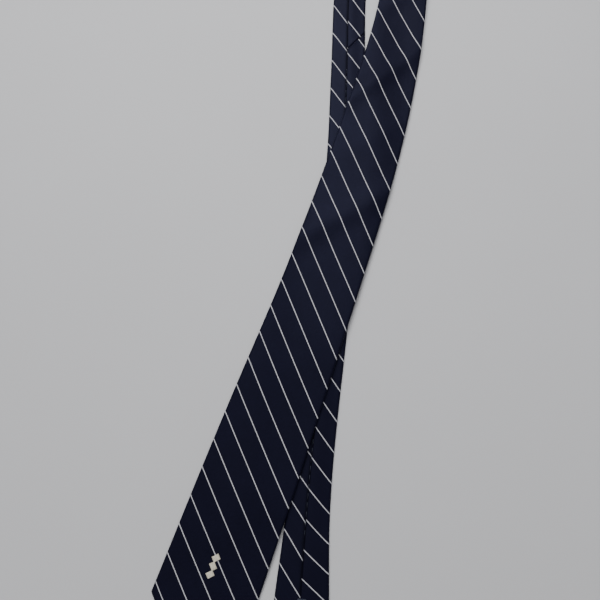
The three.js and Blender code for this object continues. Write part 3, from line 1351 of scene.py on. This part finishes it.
@dataclass(frozen=True)
class Inside:
    """The interlining and the tip linings.

    Attributes:
        wardrobe: The finishes.
        inset: How far the interlining stays from a folded edge.
        lining_inset: How far a tip lining does.
        tip_start: Where the interlining begins, from the tip.
        blade_split: Where the blade's interlining ends and the neck's begins.
        tail_split: Where the tail's interlining ends and the neck's begins.
        pressed: Share of its thickness that the interlining keeps in the fold of the neck.
        columns: Vertices across one side of the interlining.
    """

    wardrobe: Wardrobe
    inset: float = 1.9
    lining_inset: float = 2.4
    tip_start: float = 6.0
    blade_split: float = 688.0
    tail_split: float = 420.0
    pressed: float = 0.4
    columns: int = 16

    def _slab(
        self, leg: Leg, rows: Array, layer: tuple[float, float], inset: float, columns: int
    ) -> Surface:
        """Build a closed slab of cloth with softly rounded edges.

        Args:
            leg: The leg that it lies in.
            rows: Distances of its rows.
            layer: Depth of its face side, and its thickness.
            inset: How far it stays from a folded edge.
            columns: Vertices across one side.

        Returns:
            The slab.
        """
        narrowest, rounding, tightness = 0.6, 0.35, 12
        half = np.maximum(leg.half(rows) - inset, narrowest)[:, None]
        run = np.linspace(-1.0, 1.0, columns)[None]
        in_fold = smoothstep(rows, leg.length - 8, leg.length + 2)[:, None]
        top, thick = layer[0], layer[1] * mix(1.0, self.pressed, in_fold)
        round_off = thick * rounding * np.abs(run) ** tightness
        u = np.hstack([run * half, run[:, ::-1] * half])
        depth = np.hstack([top + round_off, top + thick - round_off[:, ::-1]])
        distance = np.broadcast_to(rows[:, None], u.shape)
        weave = np.stack([u, distance, 0 * u], -1).reshape(-1, 3)
        points = leg.place(distance, u, depth).reshape(-1, 3)
        return outward(Surface(points, closed_faces(*u.shape), {"weave": weave}))

    @staticmethod
    def _area(leg: Leg, rows: Array, inset: float) -> float:
        """Area of a layer in square metres."""
        return area_between(rows, 2 * (leg.half(rows) - inset))

    def _lay(self, piece: bpy.types.Object, leg: Leg, rows: Array, inset: float) -> None:
        """Bake the transform of a leg's layer into its mesh."""
        width = 2 * float(leg.half(np.array(leg.corner)) - inset)
        self._area(leg, rows, inset)
        blend_at_tip(piece, leg)

    def canvas(self) -> None:
        """Make the interlining: one piece up each leg, and one over the fold at the neck."""
        layer = (LAYERS.canvas_top, LAYERS.canvas)
        for leg, split in ((BLADE, self.blade_split), (TAIL, self.tail_split)):
            tip = np.linspace(self.tip_start, leg.corner, 7)[:-1]
            rows = np.concatenate([tip, np.arange(leg.corner, split, 6), [split]])
            slab = self._slab(leg, rows, layer, self.inset, self.columns)
            piece = make_object(f"{leg.body}_canvas", slab, self.wardrobe.canvas)
            stand_for(piece, "interlining_wool", f"{leg.body}_tip_interlining")
            self._lay(piece, leg, rows, self.inset)

        room, row, neck_width = 0.3, 7.0, 34.0
        rise = rows_to_apex(TAIL, self.tail_split + room, row)
        fall = rows_to_apex(BLADE, self.blade_split + room, row)
        slab = weld_at_apex(
            self._slab(TAIL, rise, layer, self.inset, self.columns),
            self._slab(BLADE, fall, layer, self.inset, self.columns),
            2 * self.columns,
            closed=True,
        )
        piece = make_object("neck_canvas", slab, self.wardrobe.canvas)
        stand_for(piece, "interlining_wool", "tail_interlining", "blade_interlining")
        area = self._area(TAIL, rise, self.inset) + self._area(BLADE, fall, self.inset)
        length = TAIL.apex - rise[0] + BLADE.apex - fall[0]
        length * MM
        blend_at_fold(piece)

    def tipping(self) -> None:
        """Make the satin lining of each tip."""
        for leg in (BLADE, TAIL):
            end = leg.opening + 10
            tip = np.linspace(self.tip_start + 1, leg.corner, 9)[:-1]
            rows = np.concatenate([tip, np.arange(leg.corner, end, 3)])
            slab = self._slab(leg, rows, (LAYERS.lining_top, LAYERS.lining), self.lining_inset, columns=24)
            piece = make_object(f"{leg.body}_tip_lining", slab, self.wardrobe.lining)
            stand_for(piece, "tipping_silk", f"{leg.body}_tipping")
            self._lay(piece, leg, rows, self.lining_inset)


# ------------------------------------------------------------------ stitching


def dome(run: Array) -> Array:
    """Height of a half round over its width, which runs from -1 to 1."""
    return np.sqrt(np.maximum(0.0, 1 - run**2))


@dataclass(frozen=True)
class Needlework:
    """Threads: the slip stitches, the bar tacks, the joins, the spare loop, the label's tacks and the motif.

    Attributes:
        wardrobe: The finishes.
        thread: Radius of the sewing thread.
    """

    wardrobe: Wardrobe
    thread: float = 0.2

    def _sew(self, name: str, parts: Sequence[Surface], node: str, body: str, motif: bool = False) -> None:
        """Join stitches into one piece that rides on a body.

        Args:
            name: The piece's name.
            parts: Its stitches.
            node: The frame's node that it stands for.
            body: The body that it rides on.
            motif: Whether it is sewn in the motif's thread.
        """
        material = self.wardrobe.motif if motif else self.wardrobe.thread
        piece = make_object(name, Surface.joined(parts), material)
        stand_for(piece, "motif_thread" if motif else "navy_thread", node)
        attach(piece, body)

    def slip_stitches(self, leg: Leg, start: float, end: float) -> None:
        """Sew the long slip stitches that close the centre seam, just under its edge."""
        pitch, length, dive = 7.0, 4.2, 0.42
        run = np.linspace(0, 1, 7)
        u = SEAM_EDGE - 0.06 + 0.1 * np.cos(run * math.pi)
        depth = LAYERS.flap + LAYERS.silk / 2 + 0.08 + dive * np.sin(run * math.pi)
        parts = [
            tube(leg.place(at + run * length, u, depth), self.thread * 0.7)
            for at in np.arange(start, end - pitch, pitch)
        ]
        self._sew(f"{leg.body}_seam_stitches", parts, f"{leg.body}_slip_stitch", leg.body)

    def bar_tack(self, leg: Leg) -> None:
        """Sew the dense bar that holds the centre seam at its lower end."""
        first, pitch, stitches, reach = -3.2, 0.52, 13, 1.15
        run = np.linspace(-1, 1, 7)
        depth = LAYERS.tip_flap + LAYERS.step + LAYERS.silk / 2 + 0.05 + 0.32 * dome(run)
        parts = []
        for i in range(stitches):
            distance = leg.opening - 0.5 + run * reach + 0.12 * math.cos(i * 2.4)
            parts.append(tube(leg.place(distance, first + i * pitch + 0.14 * run, depth), self.thread))
        name = f"{leg.body}_bar_tack"
        self._sew(name, parts, name, f"{leg.body}_tip")

    def join(self, leg: Leg, cut: BiasCut) -> None:
        """Sew the small stitches inside the line where two panels meet, across the face."""
        margin, pitch, length = 3.5, 2.2, 1.5
        half = float(leg.half(np.array(cut.distance))) - margin
        run = np.linspace(0, 1, 5)
        depth = 0.42 + 0.1 * np.sin(run * math.pi)
        parts = []
        for at in np.arange(-half, half, pitch):
            u = at + run * length
            parts.append(tube(leg.place(cut.distance + cut.slope * u, u, depth), self.thread * 0.5))
        name = f"{leg.body}_join_stitches"
        self._sew(name, parts, name, leg.body)

    def spare_loop(self) -> None:
        """Lay the hairpin of spare thread that lets the seam give."""
        half, top, straight, curved = 1.6, BLADE.opening - 2, 11.0, 7.0
        low = top - straight
        turn = np.linspace(0, math.pi, 15)
        right = np.stack([np.full(8, half), np.linspace(top, low, 8)], 1)[:-1]
        bend = np.stack([half * np.cos(turn), low - curved - half * 1.3 * np.sin(turn)], 1)
        path = np.vstack([right, bend, right[::-1] * [-1, 1]])
        path[:, 0] += 0.35 * np.sin(path[:, 1] * 0.8)
        points = BLADE.place(path[:, 1], path[:, 0], LAYERS.tip_flap - 0.1)
        self._sew("spare_loop", [tube(points, self.thread, 8)], "spare_thread_loop", "blade_tip")

    def motif(self) -> None:
        """Embroider three small lozenges one above the other in satin stitch."""
        centre, middle_u, half, tall = 74.0, -2.0, 3.3, 6.4
        pitch, slant, radius = 0.36, 0.55, 0.21
        run = np.linspace(-1, 1, 9)
        parts = []
        for i, lean in enumerate((slant, -slant, slant)):
            low = centre + (i - 1.5) * tall
            for at in np.arange(pitch, tall, pitch):
                reach = half * (1 - abs(2 * at / tall - 1)) + 0.25
                depth = -0.05 - 0.34 * dome(run) * min(1.0, reach / 1.2)
                points = BLADE.place(low + at + lean * run, middle_u + run * reach, depth)
                parts.append(tube(points, radius))
        self._sew("motif", parts, "embroidered_motif", "blade_tip", motif=True)

    def label_tacks(self) -> None:
        """Sew down the two short ends of the maker's label."""
        first, last, pitch, length, radius = 197.0, 215.5, 1.7, 1.1, 0.14
        run = np.linspace(0, 1, 7)
        depth = BACK + 0.02 + 0.3 * np.sin(run * math.pi)
        for name, side in (("label_tack_left", -1.0), ("label_tack_right", 1.0)):
            u = side * (19.9 + 0.1 * np.cos(run * math.pi))
            starts = np.arange(first, last, pitch)
            parts = [tube(BLADE.place(at + length * run, u, depth), radius) for at in starts]
            self._sew(f"{name}_stitches", parts, name, "blade")


# ------------------------------------------------------------------ keeper and labels


@dataclass(frozen=True)
class Keeper:
    """The self-fabric loop on the back of the blade, in two halves.

    Attributes:
        silk: Its finish.
        start: Where it begins along the blade.
        end: Where it ends.
        half: Half of its length across the blade.
        cloth: Thickness of its doubled cloth.
        sewn: Offset where it is sewn down.
        free: Offset where it is free to stand off.
        rows: Rows of the mesh.
        columns: Vertices in each row.
    """

    silk: bpy.types.Material
    start: float = 158.0
    end: float = 172.0
    half: float = 23.0
    cloth: float = 0.8
    sewn: float = 19.0
    free: float = 1.0
    rows: int = 26
    columns: int = 40

    def _strip(self, side: float) -> Surface:
        """Build one half, a flat closed sleeve with rounded edges that drops to its sewn end."""
        squarest, softest, drops_from, paler_edge = 0.28, 0.8, 0.72, 1.2
        run = np.linspace(0.0, 1.0, self.rows)[:, None]
        turn = np.linspace(0, 2 * math.pi, self.columns, endpoint=False)
        wide, thick = (self.end - self.start) / 2, self.cloth / 2
        middle = (self.start + self.end) / 2
        ring_s = wide * np.sign(np.cos(turn)) * np.abs(np.cos(turn)) ** squarest
        ring_depth = thick * np.sign(np.sin(turn)) * np.abs(np.sin(turn)) ** softest
        distance = middle + np.broadcast_to(ring_s, (self.rows, self.columns))
        depth = BACK + thick + ring_depth[None] - LAYERS.step * smoothstep(run, drops_from, 1.0)
        u = np.broadcast_to(side * self.half * run, distance.shape)
        count = (u * 0.045 + distance * 0.043).ravel()
        edge = smoothstep(np.abs(distance - middle), wide - paler_edge, wide).ravel()
        weave = np.stack([count * STRIPE_PITCH, (u * 0.7 - distance * 0.7).ravel(), 0 * count], 1)
        fields = {"stripe": count, "weave": weave, "edge": edge, "painted_seam_shade": 0 * edge}
        points = BLADE.place(distance, u, depth).reshape(-1, 3)
        return outward(Surface(points, closed_faces(self.rows, self.columns), fields))

    def build(self) -> None:
        """Make the two halves; the left one stands for the band too."""
        for hand, side, nodes in (
            ("left", -1.0, ("keeper_tab_left", "keeper_band")),
            ("right", 1.0, ("keeper_tab_right",)),
        ):
            piece = make_object(f"keeper_{hand}", self._strip(side), self.silk)
            stand_for(piece, "striped_silk", *nodes)
            (self.end - self.start + self.cloth) * MM
            self.half * MM
            middle = (self.start + self.end) / 2
            sewn, free = BLADE.place(middle, [side * self.sewn, side * self.free], 0.0) * MM
            sewn[2] = free[2] = 0.0
            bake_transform(piece)


@dataclass(frozen=True)
class Label:
    """A thin blank woven label that lies on the back of the blade.

    Attributes:
        name: The piece's name.
        node: The frame's node that it stands for.
        slot: Name of its material slot.
        start: Where it begins along the blade.
        end: Where it ends.
        half: Half of its width.
        cloth: Its thickness.
    """

    name: str
    node: str
    slot: str
    start: float
    end: float
    half: float
    cloth: float

    def build(self, material: bpy.types.Material) -> None:
        """Make the label, eased a little off the silk in its middle."""
        rows, columns, wave_height, sewn_width = 24, 36, 0.16, 5.0
        along, across = np.linspace(self.start, self.end, rows), np.linspace(-self.half, self.half, columns)
        distance, u = np.meshgrid(along, across, indexing="ij")
        length = self.end - self.start
        ease = wave_height * np.cos(u / self.half * 2.2) * np.cos((distance - self.start) / length * 5.0)
        hold = smoothstep(self.half - np.abs(u), 0.0, sewn_width)
        depth = BACK + self.cloth / 2 - LAYERS.gap * 0.6 * (1 - hold) + ease * hold
        points = BLADE.place(distance, u, depth).reshape(-1, 3)
        margin = np.minimum(self.half - np.abs(u), np.minimum(distance - self.start, self.end - distance))
        weave = np.stack([u, distance, margin], -1).reshape(-1, 3)
        piece = make_object(self.name, Surface(points, grid_faces(rows, columns), {"weave": weave}), material)
        thicken(piece, self.cloth)
        stand_for(piece, self.slot, self.node)
        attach(piece, "blade")
        2 * self.half * MM
        length * MM


MAKER_LABEL = Label("blank_label", "maker_label", "label_satin", 195.0, 217.0, 21.0, 0.3)
CARE_LABEL = Label("blank_care_label", "care_label", "care_satin", 224.0, 252.0, 8.0, 0.25)


# ------------------------------------------------------------------ table, light and camera


@dataclass(frozen=True)
class SoftLight:
    """A square soft light that looks at a point.

    Attributes:
        name: Its name.
        place: Where it hangs, in metres.
        aim: Where it looks, in metres.
        size: Length of its sides, in metres.
        power: Its power in watts.
    """

    name: str
    place: Point
    aim: Point
    size: float
    power: float

    def hang(self) -> None:
        """Add the light to the scene."""
        data = bpy.data.lights.new(self.name, "AREA")
        data.shape, data.size, data.energy = "SQUARE", self.size, self.power
        lamp = bpy.data.objects.new(self.name, data)
        lamp.location = self.place
        back = np.array(self.place) - np.array(self.aim)
        back /= np.linalg.norm(back)
        lamp.rotation_euler = (math.acos(back[2]), 0.0, math.atan2(back[1], back[0]) + math.pi / 2)
        bpy.context.scene.collection.objects.link(lamp)


@dataclass(frozen=True)
class Studio:
    """The table, the soft lights and the camera.

    Attributes:
        eye: Where the camera stands, in millimetres.
        tilt: How far it looks towards +Y from straight down, in degrees.
        lens: Its focal length.
        sensor: Width of its sensor.
        table_half: Half of the table's side, in metres.
        table_drop: How far the table lies below the tie, in millimetres.
        sky: Strength of the light from all round.
        soft_lights: The lights over the table.
    """

    eye: Point = (-3.0, -180.7, 498.0)
    tilt: float = 10.9
    lens: float = 36.0
    sensor: float = 36.0
    table_half: float = 4.0
    table_drop: float = 0.1
    sky: float = 0.14
    soft_lights: tuple[SoftLight, ...] = (
        SoftLight("key", (-0.15, 1.0, 1.5), (0.0, 0.0, 0.0), 1.0, 38.0),
        SoftLight("overhead", (0.0, 0.3, 3.2), (0.0, 0.3, 0.0), 3.6, 42.0),
        SoftLight("fill", (-1.1, -0.9, 1.7), (0.0, 0.0, 0.0), 1.4, 6.0),
    )

    def camera(self) -> None:
        """Set up the camera."""
        data = bpy.data.cameras.new("camera")
        data.lens, data.sensor_width = self.lens, self.sensor
        data.clip_start, data.clip_end = 0.01, 50.0
        camera = bpy.data.objects.new("camera", data)
        camera.location = [c * MM for c in self.eye]
        camera.rotation_euler = (math.radians(self.tilt), 0.0, 0.0)
        bpy.context.scene.collection.objects.link(camera)
        bpy.context.scene.camera = camera

    def table(self) -> None:
        """Lay the pale table just under the tie."""
        h = self.table_half
        mesh = bpy.data.meshes.new("table")
        mesh.from_pydata([(-h, -h, 0), (h, -h, 0), (h, h, 0), (-h, h, 0)], [], [(0, 1, 2, 3)])
        mesh.materials.append(PaleTable().material())
        table = bpy.data.objects.new("table", mesh)
        table.location.z = -self.table_drop * MM
        bpy.context.scene.collection.objects.link(table)

    def lights(self) -> None:
        """Light the table softly, a little more from the far side."""
        world = bpy.data.worlds.new("studio")
        world.use_nodes = True
        background = world.node_tree.nodes["Background"]
        background.inputs["Color"].default_value = rgb(0.93, 0.95, 1.0)
        background.inputs["Strength"].default_value = self.sky
        bpy.context.scene.world = world
        for light in self.soft_lights:
            light.hang()


# ------------------------------------------------------------------ putting it together


def main() -> None:
    """Load the frame, build the tie round it and set the scene."""
    logging.basicConfig(level=logging.INFO, format="%(name)s: %(message)s")
    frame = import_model()

    studio = Studio()
    studio.camera()
    wardrobe = Wardrobe()

    shell = Shell(wardrobe.silk)
    shell.blade()
    shell.tail()
    shell.neck()

    inside = Inside(wardrobe)
    inside.canvas()
    inside.tipping()

    sewing = Needlework(wardrobe)
    sewing.slip_stitches(BLADE, 130.0, 660.0)
    sewing.slip_stitches(TAIL, 92.0, 505.0)
    sewing.bar_tack(BLADE)
    sewing.bar_tack(TAIL)
    sewing.join(BLADE, BLADE_JOIN)
    sewing.join(TAIL, TAIL_JOIN)
    sewing.spare_loop()
    sewing.motif()

    Keeper(wardrobe.silk).build()
    MAKER_LABEL.build(wardrobe.label)
    CARE_LABEL.build(wardrobe.care)
    sewing.label_tacks()

    studio.table()
    studio.lights()


if __name__ == "__main__":
    main()
